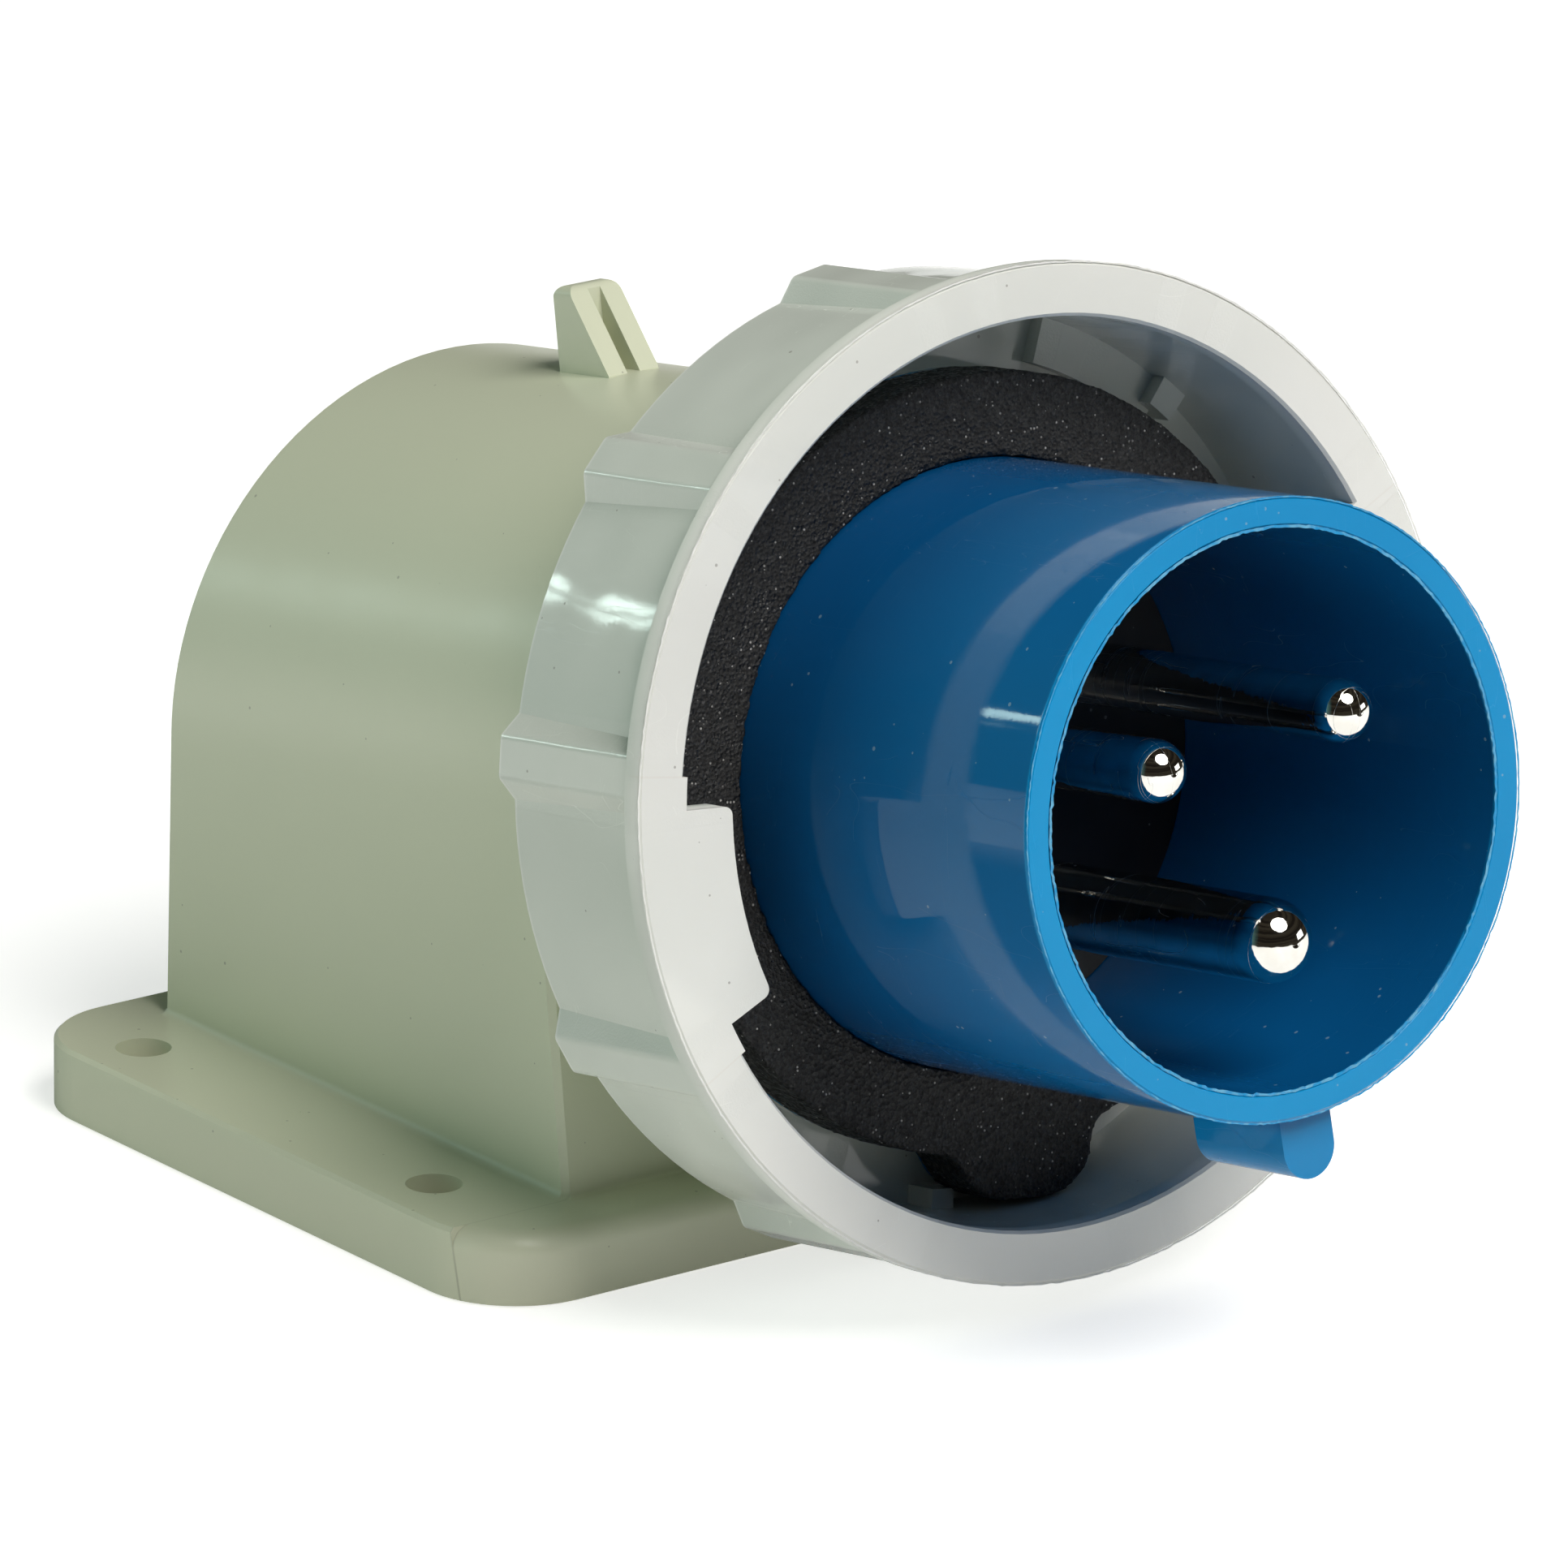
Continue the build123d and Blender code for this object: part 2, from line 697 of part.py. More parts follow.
with BuildPart() as locking_ring:
    with BuildSketch(half_section(ring)) as ring_section:
        with BuildLine():
            Polyline(
                (ring_radius, 0),
                (ring_radius, -band_width),
                (barrel_front_radius, -band_width),
                (barrel_back_radius, -ring_depth),
                (ring_journal, -ring_depth),
                (ring_journal, rim_front),
                (ring_journal + thrust_width, rim_front),
                (ring_journal + thrust_width, floor_front),
                (ring_bore_back, floor_front),
                (ring_bore, 0),
                close=True,
            )
        make_face()
        front_corners = ring_section.vertices().group_by(Axis.Y)[-1].sort_by(Axis.X)
        chamfer(front_corners[-1], length=band_edge)
        chamfer(front_corners[0], length=bore_edge)
    revolve(axis=plug_axis)
    for number in range(rib_count):
        add(grip.part.rotate(plug_axis, 360 / rib_count * (number + 0.5)))
    # Lugs of the bayonet, on a slightly thicker stretch of the bore.
    for angle in (0, 180):
        gate = ring_sector(ring, ring_bore - gate_step, wall_middle, angle, gate_angle)
        extrude(gate, amount=-lug_depth)
        lug = ring_sector(ring, lug_radius, wall_middle, angle, lug_angle, lug_corner)
        extrude(lug, amount=-lug_depth)
    # On the floor: the two stops, and a land with a catch beside it.
    floor_plane = ring.offset(floor_front)
    for angle in (rest_stop, end_stop):
        extrude(ring_sector(floor_plane, stop_radius, wall_middle, angle, stop_angle), amount=stop_height)
    land = ring_sector(floor_plane, land_radius, wall_middle, land_centre_angle, land_angle)
    extrude(land, amount=land_height)
    catch_centre = land_centre_angle - land_angle / 2
    catch = ring_sector(floor_plane, catch_radius, wall_middle, catch_centre, catch_angle)
    extrude(catch, amount=catch_height)
locking_ring.part.label = "locking_ring"
export_step(locking_ring.part, "parts/locking_ring.step")
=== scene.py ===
# %% [markdown]
# This lesson dresses the plug inlet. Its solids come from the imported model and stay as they
# are. The lesson adds the finishes, the small marks that moulding leaves, the light and the
# camera. Every length is in metres, in the model's own frame: X is to the right seen from the
# front, Z is up, and the plug points to -Y and a little upwards.

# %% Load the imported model
import json
from math import cos, pi, radians, sin

import bpy
from mathutils import Matrix, Vector

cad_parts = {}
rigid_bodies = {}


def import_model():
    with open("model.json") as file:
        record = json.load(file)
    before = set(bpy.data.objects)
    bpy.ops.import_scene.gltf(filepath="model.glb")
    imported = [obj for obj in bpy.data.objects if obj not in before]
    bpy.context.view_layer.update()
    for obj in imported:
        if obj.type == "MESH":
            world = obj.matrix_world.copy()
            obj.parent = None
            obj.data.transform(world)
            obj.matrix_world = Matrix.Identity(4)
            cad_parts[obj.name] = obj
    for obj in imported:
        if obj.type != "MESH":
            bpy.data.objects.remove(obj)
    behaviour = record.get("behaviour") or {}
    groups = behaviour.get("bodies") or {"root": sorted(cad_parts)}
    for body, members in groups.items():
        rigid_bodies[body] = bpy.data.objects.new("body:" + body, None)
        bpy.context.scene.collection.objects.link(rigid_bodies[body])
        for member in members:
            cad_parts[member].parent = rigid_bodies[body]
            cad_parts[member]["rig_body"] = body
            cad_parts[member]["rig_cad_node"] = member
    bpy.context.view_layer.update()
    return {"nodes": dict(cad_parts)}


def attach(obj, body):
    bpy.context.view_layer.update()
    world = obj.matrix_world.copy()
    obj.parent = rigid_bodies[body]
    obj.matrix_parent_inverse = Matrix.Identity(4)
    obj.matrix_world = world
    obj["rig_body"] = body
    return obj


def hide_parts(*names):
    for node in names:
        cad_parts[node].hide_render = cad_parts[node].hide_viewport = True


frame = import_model()
nodes = frame["nodes"]

# %% [markdown]
# The plug stands on a slanting axis through the middle of the ring's front face. Most places on
# the object are read from there: a distance forwards along the axis, a radius and an angle. The
# insert, which holds the pins, and the ring are turned a little round that axis.

# %% The plug's own axes
mm = 0.001
plug_tilt = radians(9.2)
plug_centre = Vector((0, -64.9 * mm, 50.95 * mm))
plug_ahead = Vector((0, -cos(plug_tilt), sin(plug_tilt)))
plug_right = Vector((1, 0, 0))
plug_up = Vector((0, sin(plug_tilt), cos(plug_tilt)))
sleeve_reach = 33.2 * mm
sleeve_radius = 29.0 * mm
sleeve_bore = 26.2 * mm
ring_radius = 48.1 * mm


def on_plug(radius, angle, ahead):
    """The point at a radius and an angle round the plug's axis, and a distance ahead of the ring."""
    side = plug_right * cos(angle) + plug_up * sin(angle)
    return plug_centre + plug_ahead * ahead + side * radius


print("sleeve rim reaches", [round(v, 4) for v in on_plug(sleeve_radius, 0, sleeve_reach)])

# %% [markdown]
# The photograph was taken with a long lens from the front left and a little above. A long lens
# keeps the parallel edges nearly parallel. The camera's place and turn were solved from the
# known sizes of the plug, so the model needs no fitting to the picture.

# %% Camera
camera_turn = radians(-37.604)
camera_height = radians(18.213)
camera_roll = radians(0.746)
sensor_width = 36.0
lens = 340.46
camera_place = Vector((-823.64, -1093.06, 483.07)) * mm
back = Vector((
    sin(camera_turn) * cos(camera_height),
    -cos(camera_turn) * cos(camera_height),
    sin(camera_height),
))
level = Vector((cos(camera_turn), sin(camera_turn), 0))
upright = back.cross(level)
right = level * cos(camera_roll) + upright * sin(camera_roll)
up = upright * cos(camera_roll) - level * sin(camera_roll)
camera_data = bpy.data.cameras.new("camera")
camera_data.sensor_width = sensor_width
camera_data.sensor_fit = "HORIZONTAL"
camera_data.lens = lens
camera_data.clip_start = 0.05
camera_data.clip_end = 50
camera = bpy.data.objects.new("camera", camera_data)
bpy.context.scene.collection.objects.link(camera)
camera_axes = Matrix((right, up, back)).transposed().to_4x4()
camera.matrix_world = Matrix.Translation(camera_place) @ camera_axes
bpy.context.scene.camera = camera
print("camera at", [round(v, 3) for v in camera_place])

# %% [markdown]
# A finish is a small tree of nodes: patterns are read at a point, changed by a few sums, mixed
# into a colour, and fed to a shader. The helpers below add one such node each and return the
# socket to go on with, so that a finish reads as a list of its steps. An input takes either a
# plain value or another node's output.

# %% Helpers for materials
def fresh_material(name):
    """A new material with an empty node tree, its shader and its output."""
    material = bpy.data.materials.new(name)
    material.use_nodes = True
    tree = material.node_tree
    tree.nodes.clear()
    output = tree.nodes.new("ShaderNodeOutputMaterial")
    shader = tree.nodes.new("ShaderNodeBsdfPrincipled")
    tree.links.new(shader.outputs["BSDF"], output.inputs["Surface"])
    return material, tree, shader


def put(tree, kind, settings=None, **sockets):
    """Adds a node, sets its options, and fills or links its inputs by name."""
    node = tree.nodes.new(kind)
    for option, value in (settings or {}).items():
        setattr(node, option, value)
    for name, value in sockets.items():
        plug_in(tree, node, name.replace("_", " "), value)
    return node


def plug_in(tree, node, name, value):
    """Links an output socket to an input, or sets the input's own value."""
    socket = node.inputs[int(name)] if name.isdigit() else node.inputs[name]
    if isinstance(value, bpy.types.NodeSocket):
        tree.links.new(value, socket)
    else:
        socket.default_value = value


def maths(tree, operation, first, second=0.0, third=0.0):
    """A Math node's result, with sockets or plain numbers as its inputs."""
    node = tree.nodes.new("ShaderNodeMath")
    node.operation = operation
    for index, value in enumerate((first, second, third)):
        plug_in(tree, node, str(index), value)
    return node.outputs[0]


def vector_maths(tree, operation, first, second=(0, 0, 0)):
    """A Vector Math node's results, with sockets or plain vectors as its inputs."""
    node = tree.nodes.new("ShaderNodeVectorMath")
    node.operation = operation
    plug_in(tree, node, "0", first)
    plug_in(tree, node, "1", second)
    return node.outputs


def ramp(tree, value, low, high, start=0.0, end=1.0):
    """Maps a value from one range to another, held at both ends."""
    node = tree.nodes.new("ShaderNodeMapRange")
    node.interpolation_type = "SMOOTHSTEP"
    for index, entry in enumerate((value, low, high, start, end)):
        plug_in(tree, node, str(index), entry)
    return node.outputs[0]


def blend_colour(tree, amount, first, second):
    """A colour mix by an amount between two colours."""
    node = tree.nodes.new("ShaderNodeMix")
    node.data_type = "RGBA"
    for index, entry in ((0, amount), (6, first), (7, second)):
        plug_in(tree, node, str(index), entry)
    return node.outputs[2]


def noise_of(tree, vector, scale, detail=2.0, roughness=0.5):
    """A noise pattern's grey value."""
    inputs = {"Vector": vector, "Scale": scale, "Detail": detail, "Roughness": roughness}
    return put(tree, "ShaderNodeTexNoise", **inputs).outputs[0]


print("helpers ready")

# %% [markdown]
# The studio is plain: a pale floor, one wide soft lamp high in front, a weak one low on the
# right, and the green light of a distant window on the left. How far a direction points to the
# window matters twice, for the light on the object and for what it mirrors, so it is a node
# group: built once, and placed both in the world and in the cloth dome that gloss mirrors. It
# also gives the height of a direction.

# %% Node group: the room
def new_group(name, inputs, outputs):
    """An empty node group with named inputs and outputs."""
    group = bpy.data.node_groups.new(name, "ShaderNodeTree")
    for label, kind, value in inputs:
        socket = group.interface.new_socket(label, in_out="INPUT", socket_type=kind)
        if value is not None:
            socket.default_value = value
    for label, kind in outputs:
        group.interface.new_socket(label, in_out="OUTPUT", socket_type=kind)
    return group, group.nodes.new("NodeGroupInput"), group.nodes.new("NodeGroupOutput")


def use_group(tree, group, **inputs):
    """Places a node group and fills its inputs by name."""
    node = tree.nodes.new("ShaderNodeGroup")
    node.node_tree = group
    for name, value in inputs.items():
        plug_in(tree, node, name.replace("_", " "), value)
    return node.outputs


number = "NodeSocketFloat"
room_group, entry, result = new_group(
    "room",
    [("Direction", "NodeSocketVector", None)],
    [("Window Side", number), ("Height", number)],
)
window_turn = radians(-122)
window_rise = radians(7)
window_edge = 0.55
window_core = 0.97
window_way = (
    sin(window_turn) * cos(window_rise),
    -cos(window_turn) * cos(window_rise),
    sin(window_rise),
)
facing = vector_maths(room_group, "DOT_PRODUCT", entry.outputs["Direction"], window_way)["Value"]
window_side = ramp(room_group, facing, window_edge, window_core)
room_group.links.new(window_side, result.inputs["Window Side"])
way = put(room_group, "ShaderNodeSeparateXYZ", Vector=entry.outputs["Direction"])
room_group.links.new(way.outputs["Z"], result.inputs["Height"])
print(room_group.name, "ready")

# %% [markdown]
# The background is white, but a white lit as brightly as that would flood the object with light.
# So the floor has two levels: a strong glow for the camera, for gloss and for clear things, and
# a weak one for the light that it throws on the object. Its paper still takes the shadow.


# %% Floor
def seen_rays(tree):
    """One for rays that come from the camera, from a glossy surface or through a clear one."""
    path = put(tree, "ShaderNodeLightPath").outputs
    seen = maths(tree, "MAXIMUM", path["Is Camera Ray"], path["Is Glossy Ray"])
    return maths(tree, "MAXIMUM", seen, path["Is Transmission Ray"])


paper_white = (0.8, 0.8, 0.79, 1)
glow_on_object = 0.23
glow_seen = 0.64
floor_size = 8
floor_drop = 0.2 * mm
bpy.ops.object.select_all(action="DESELECT")
bpy.ops.mesh.primitive_plane_add(size=floor_size, location=(0, 0, -floor_drop))
floor = bpy.context.object
floor.name = "floor"
floor_paint = bpy.data.materials.new("floor paper")
floor_paint.use_nodes = True
tree = floor_paint.node_tree
tree.nodes.clear()
paper = put(tree, "ShaderNodeBsdfDiffuse", Color=paper_white)
strength = ramp(tree, seen_rays(tree), 0.0, 1.0, glow_on_object, glow_seen)
glow = put(tree, "ShaderNodeEmission", Strength=strength)
both = put(tree, "ShaderNodeAddShader")
tree.links.new(paper.outputs[0], both.inputs[0])
tree.links.new(glow.outputs[0], both.inputs[1])
put(tree, "ShaderNodeOutputMaterial", Surface=both.outputs[0])
floor.data.materials.append(floor_paint)
print("floor", floor.dimensions[:2])

# %% [markdown]
# The world behind the floor follows the same rule. It shows white, and lights the object only
# weakly, with a pale green from the side of the window. That green light shapes the left walls.

# %% World
wall_dark = (0.03, 0.03, 0.03, 1)
window_light = (0.47, 0.65, 0.54, 1)
world = bpy.data.worlds.new("studio")
bpy.context.scene.world = world
world.use_nodes = True
tree = world.node_tree
tree.nodes.clear()
direction = put(tree, "ShaderNodeTexCoord").outputs["Generated"]
room = use_group(tree, room_group, Direction=direction)
wall_light = blend_colour(tree, room["Window Side"], wall_dark, window_light)
colour = blend_colour(tree, seen_rays(tree), wall_light, (1, 1, 1, 1))
sky = put(tree, "ShaderNodeBackground", Color=colour)
put(tree, "ShaderNodeOutputWorld", Surface=sky.outputs[0])
print(world.name, len(tree.nodes), "nodes")

# %% [markdown]
# A glossy surface shows what stands round it. In a studio, black cloth is hung where a surface
# should mirror something dark, so that a lamp's reflection stands out against it. Here a cloth
# dome stands round the set. Only reflections meet it: the camera looks through it and it takes
# no light from the object. It is dark brown with a few paler folds, and a dull teal on the side
# of the window.

# %% Cloth dome
dome_radius = 2.6
dome_foot = -0.1
cloth_folds = ((0.012, 0.010, 0.008, 1), (0.035, 0.03, 0.022, 1))
cloth_by_window = (0.10, 0.25, 0.25, 1)
bpy.ops.object.select_all(action="DESELECT")
bpy.ops.mesh.primitive_uv_sphere_add(segments=48, ring_count=24, radius=dome_radius)
dome = bpy.context.object
dome.name = "cloth_dome"
bpy.ops.object.mode_set(mode="EDIT")
bpy.ops.mesh.select_all(action="SELECT")
bpy.ops.mesh.bisect(plane_co=(0, 0, dome_foot), plane_no=(0, 0, 1), clear_inner=True)
bpy.ops.object.mode_set(mode="OBJECT")
dome.visible_camera = False
dome.visible_diffuse = False
dome.visible_shadow = False
cloth = bpy.data.materials.new("dome cloth")
cloth.use_nodes = True
tree = cloth.node_tree
tree.nodes.clear()
direction = put(tree, "ShaderNodeTexCoord").outputs["Object"]
direction = vector_maths(tree, "NORMALIZE", direction)["Vector"]
room = use_group(tree, room_group, Direction=direction)
folds = put(tree, "ShaderNodeTexNoise", {"noise_dimensions": "1D"}, W=room["Height"], Scale=9.0, Detail=1.0)
shade = ramp(tree, folds.outputs[0], 0.4, 0.6)
brown = blend_colour(tree, shade, *cloth_folds)
colour = blend_colour(tree, room["Window Side"], brown, cloth_by_window)
glow = put(tree, "ShaderNodeEmission", Color=colour)
put(tree, "ShaderNodeOutputMaterial", Surface=glow.outputs[0])
dome.data.materials.append(cloth)
print(dome.name, "radius", dome_radius, "m")

# %% [markdown]
# The object stands in its own shade, so its low parts mirror a dark patch of floor. The white floor would
# show too bright there. A disc of painted floor shade lies round the foot, for reflections alone.

# %% Painted floor shade
shade_centre = Vector((-50, 30, 0)) * mm
shade_place = shade_centre - Vector((0, 0, 0.1 * mm))
shade_radius = 130 * mm
shade_core = 70 * mm
shaded_floor = (0.12, 0.13, 0.12, 1)
open_floor = (0.6, 0.6, 0.58, 1)
bpy.ops.object.select_all(action="DESELECT")
bpy.ops.mesh.primitive_circle_add(vertices=64, radius=shade_radius, fill_type="NGON", location=shade_place)
shade_disc = bpy.context.object
shade_disc.name = "painted_shade_disc"
shade_disc.visible_camera = False
shade_disc.visible_diffuse = False
shade_disc.visible_shadow = False
shade_paint = bpy.data.materials.new("painted floor shade")
shade_paint.use_nodes = True
tree = shade_paint.node_tree
tree.nodes.clear()
point = put(tree, "ShaderNodeTexCoord").outputs["Object"]
from_centre = vector_maths(tree, "DISTANCE", point, tuple(shade_centre))["Value"]
edge = ramp(tree, from_centre, shade_core, shade_radius)
# Painted shade: dark in the middle, paling to open floor at the rim.
colour = blend_colour(tree, edge, shaded_floor, open_floor)
glow = put(tree, "ShaderNodeEmission", Color=colour)
put(tree, "ShaderNodeOutputMaterial", Surface=glow.outputs[0])
shade_disc.data.materials.append(shade_paint)
bpy.ops.object.transform_apply(location=True, rotation=False, scale=False)
print(shade_disc.name, "radius", shade_radius, "m")

# %% [markdown]
# A lamp is given by its direction from the object, in degrees: its turn from straight ahead,
# with the left negative, and its rise above the floor. The wide key lamp shapes everything and
# is oval in the mirror of the pins. The weak fill reaches under the plug from the right. Three
# small panes on the window's side draw the short bright streaks on the ring and the sleeve. A
# lamp's power follows from its size and from how bright its face is.


# %% Lamps
lamp_aim = Vector((0, -30, 50)) * mm


def lamp(name, size, radiance, colour, turn, rise, distance):
    """A rectangular soft lamp in a direction from the object, facing it, not seen by the camera."""
    data = bpy.data.lights.new(name, "AREA")
    data.shape = "RECTANGLE"
    data.size, data.size_y = size
    data.energy = radiance * pi * size[0] * size[1]
    data.color = colour
    made = bpy.data.objects.new(name, data)
    bpy.context.scene.collection.objects.link(made)
    turn, rise = radians(turn), radians(rise)
    way = Vector((sin(turn) * cos(rise), -cos(turn) * cos(rise), sin(rise)))
    made.location = lamp_aim + way * distance
    made.rotation_euler = way.to_track_quat("Z", "Y").to_euler()
    made.visible_camera = False
    print(name, [round(v, 2) for v in made.location], round(data.energy, 2), "W")
    return made


warm = (1.0, 0.975, 0.945)
cool = (0.96, 0.98, 1.0)
pane_tint = (0.80, 1.0, 0.93)
key = lamp("key lamp", (1.15, 1.05), radiance=6.55, colour=warm, turn=6, rise=54, distance=1.6)
key.data.shape = "ELLIPSE"
lamp("right fill", (0.7, 0.35), radiance=2.6, colour=cool, turn=55, rise=10, distance=1.8)
lamp("upper pane", (0.24, 0.07), radiance=12.0, colour=pane_tint, turn=-150.5, rise=14.3, distance=2.0)
lamp("lower pane", (0.24, 0.03), radiance=12.0, colour=pane_tint, turn=-150.0, rise=12.0, distance=2.0)
lamp("side pane", (0.07, 0.05), radiance=7.0, colour=pane_tint, turn=-93, rise=16, distance=2.0)
bpy.context.scene.view_settings.view_transform = "Standard"

# %% [markdown]
# Many marks on a moulding follow its shape: a bright line round a rim, wear along an edge, a weld
# line at one angle. The next node group turns a point on the piece into its place on the plug:
# its radius, its distance ahead of the ring's front face and its angle. Every finish that needs
# such a mark uses it, and the marks turn with the ring because the coordinates do so.

# %% Node group: place on the plug
place_group, entry, result = new_group(
    "place on the plug",
    [("Point", "NodeSocketVector", None)],
    [("Radius", number), ("Ahead", number), ("Angle", number)],
)
offset = vector_maths(place_group, "SUBTRACT", entry.outputs["Point"], tuple(plug_centre))["Vector"]
across, rise, ahead = [
    vector_maths(place_group, "DOT_PRODUCT", offset, tuple(axis))["Value"]
    for axis in (plug_right, plug_up, plug_ahead)
]
squares = maths(place_group, "MULTIPLY", rise, rise)
squares = maths(place_group, "MULTIPLY_ADD", across, across, squares)
place_group.links.new(maths(place_group, "SQRT", squares), result.inputs["Radius"])
place_group.links.new(ahead, result.inputs["Ahead"])
place_group.links.new(maths(place_group, "ARCTAN2", rise, across), result.inputs["Angle"])
print(place_group.name, "gives", [s.name for s in result.inputs[:3]])

# %% [markdown]
# No moulding is one flat colour. Its tone drifts slowly over a wall, and its gloss changes a
# little where the melt flowed. Two noise patterns of very different scale do this. The group
# gives the drift for the colour, a second value for the gloss, and a very fine ripple for the
# bump, and each plastic mixes them in its own measure.

# %% Node group: moulded plastic
mould_group, entry, result = new_group(
    "moulded plastic",
    [("Point", "NodeSocketVector", None), ("Drift Scale", number, 25.0), ("Grain Scale", number, 2500.0)],
    [("Drift", number), ("Gloss", number), ("Grain", number)],
)
point = entry.outputs["Point"]
drift = noise_of(mould_group, point, entry.outputs["Drift Scale"], 3.0)
gloss_scale = maths(mould_group, "MULTIPLY", entry.outputs["Drift Scale"], 6.0)
gloss = noise_of(mould_group, point, gloss_scale, 4.0, 0.6)
grain = noise_of(mould_group, point, entry.outputs["Grain Scale"], 2.0)
mould_group.links.new(drift, result.inputs["Drift"])
mould_group.links.new(gloss, result.inputs["Gloss"])
mould_group.links.new(grain, result.inputs["Grain"])
print(mould_group.name, "ready")

# %% [markdown]
# Handled plastic has hair-thin scratches, and dust settles on it. A scratch is a long thin line
# in one direction, broken up so that it doesn't run round the whole piece. Stretching a noise
# pattern along one direction and keeping only the narrow band where it passes through its middle
# value gives such lines. The specks are the centres of Voronoi cells, kept in few of the cells.

# %% Node group: scratches and dust
wear_group, entry, result = new_group(
    "scratches and dust",
    [
        ("Point", "NodeSocketVector", None),
        ("Scratch Width", number, 0.004),
        ("Scratch Share", number, 0.35),
        ("Speck Scale", number, 900.0),
        ("Speck Share", number, 0.05),
    ],
    [("Scratches", number), ("Specks", number)],
)
stroke_turns = ((0.5, 0.2, 0.9), (1.9, 0.8, 0.3))
stroke_scales = ((60, 900, 60), (900, 70, 70))
largest_speck = 0.28
point = entry.outputs["Point"]
lines = 0.0
for turn, stretch in zip(stroke_turns, stroke_scales):
    mapping = put(wear_group, "ShaderNodeMapping", Vector=point, Rotation=turn, Scale=stretch)
    wave = noise_of(wear_group, mapping.outputs[0], 1.0, 1.0)
    line = maths(wear_group, "ABSOLUTE", maths(wear_group, "SUBTRACT", wave, 0.5))
    line = ramp(wear_group, line, 0.0, entry.outputs["Scratch Width"], 1.0, 0.0)
    patch = noise_of(wear_group, mapping.outputs[0], 0.35, 1.0)
    limit = maths(wear_group, "SUBTRACT", 1.0, entry.outputs["Scratch Share"])
    line = maths(wear_group, "MULTIPLY", line, maths(wear_group, "GREATER_THAN", patch, limit))
    lines = maths(wear_group, "MAXIMUM", lines, line)
wear_group.links.new(lines, result.inputs["Scratches"])
cells = put(wear_group, "ShaderNodeTexVoronoi", Vector=point, Scale=entry.outputs["Speck Scale"])
tint = put(wear_group, "ShaderNodeSeparateColor", Color=cells.outputs["Color"])
few = maths(wear_group, "LESS_THAN", tint.outputs[0], entry.outputs["Speck Share"])
size = maths(wear_group, "MULTIPLY", tint.outputs[1], largest_speck)
dot = maths(wear_group, "LESS_THAN", cells.outputs["Distance"], size)
wear_group.links.new(maths(wear_group, "MULTIPLY", few, dot), result.inputs["Specks"])
print(wear_group.name, "ready")

# %% [markdown]
# Every finish reads its patterns at the point on the piece itself, so they stay in place when
# the ring turns or the camera moves. These helpers give that point, a mark that is strongest at
# one value and fades to both sides, and the bump that turns a height into a slope.


# %% More helpers for materials
def point_of(tree):
    """The point on the piece, in the model's own coordinates."""
    return put(tree, "ShaderNodeTexCoord").outputs["Object"]


def near_to(tree, value, centre, width):
    """One where a value is at a centre, fading to zero at a width from it."""
    gap = maths(tree, "ABSOLUTE", maths(tree, "SUBTRACT", value, centre))
    return ramp(tree, gap, 0.0, width, 1.0, 0.0)


def bump_from(tree, height, strength, distance, under=None):
    """A bump normal from a height value, on top of another normal if one is given."""
    node = put(tree, "ShaderNodeBump", Height=height, Strength=strength, Distance=distance)
    if under is not None:
        plug_in(tree, node, "Normal", under)
    return node.outputs[0]


def dress(node_name, material):
    """Gives one of the model's pieces this material in every slot."""
    for slot in nodes[node_name].material_slots:
        slot.material = material


print("dressing tools ready")

# %% [markdown]
# The housing is one pale grey-green moulding with a soft gloss. Low on the base its colour is painted a
# little creamier: painted warm light of the key lamp. A thin line runs down the base where the mould's
# halves met. The line is a darker, slightly raised band in the plane of the front wall, so it is found by
# its distance ahead on the plug, and it shows only on the base. The gloss changes too little to be seen as
# patches, and only breaks up the wide soft reflections.

# %% Housing plastic
sage = (0.665, 0.695, 0.53, 1)
warm_light_cream = (0.69, 0.695, 0.54, 1)
sage_drift = (0.65, 0.69, 0.52, 1)
seam_brown = (0.2, 0.2, 0.13, 1)
housing_dirt = (0.18, 0.18, 0.14, 1)
seam_ahead = -36.6 * mm
seam_reach = 0.18 * mm
cream_starts = 10 * mm
cream_full = 2 * mm
housing_paint, tree, shader = fresh_material("housing plastic")
point = point_of(tree)
mould = use_group(tree, mould_group, Point=point, Drift_Scale=18.0, Grain_Scale=1800.0)
wear = use_group(tree, wear_group, Point=point, Speck_Share=0.012, Speck_Scale=1600.0)
place_on = use_group(tree, place_group, Point=point)
height = put(tree, "ShaderNodeSeparateXYZ", Vector=point).outputs["Z"]
low = ramp(tree, height, cream_starts, cream_full)
# Painted light: the base is painted creamier, for the warm lamp light on it.
colour = blend_colour(tree, low, sage, warm_light_cream)
colour = blend_colour(tree, ramp(tree, mould["Drift"], 0.3, 0.7, 0.0, 0.3), colour, sage_drift)
seam = maths(tree, "MULTIPLY", near_to(tree, place_on["Ahead"], seam_ahead, seam_reach), low)
colour = blend_colour(tree, maths(tree, "MULTIPLY", seam, 0.45), colour, seam_brown)
colour = blend_colour(tree, maths(tree, "MULTIPLY", wear["Specks"], 0.5), colour, housing_dirt)
tree.links.new(colour, shader.inputs["Base Color"])
tree.links.new(ramp(tree, mould["Gloss"], 0.3, 0.7, 0.285, 0.325), shader.inputs["Roughness"])
surface = maths(tree, "MULTIPLY_ADD", seam, 6.0, mould["Grain"])
tree.links.new(bump_from(tree, surface, 0.06, 0.02 * mm), shader.inputs["Normal"])
shader.inputs["IOR"].default_value = 1.5
dress("housing", housing_paint)
print(housing_paint.name, len(tree.nodes), "nodes")
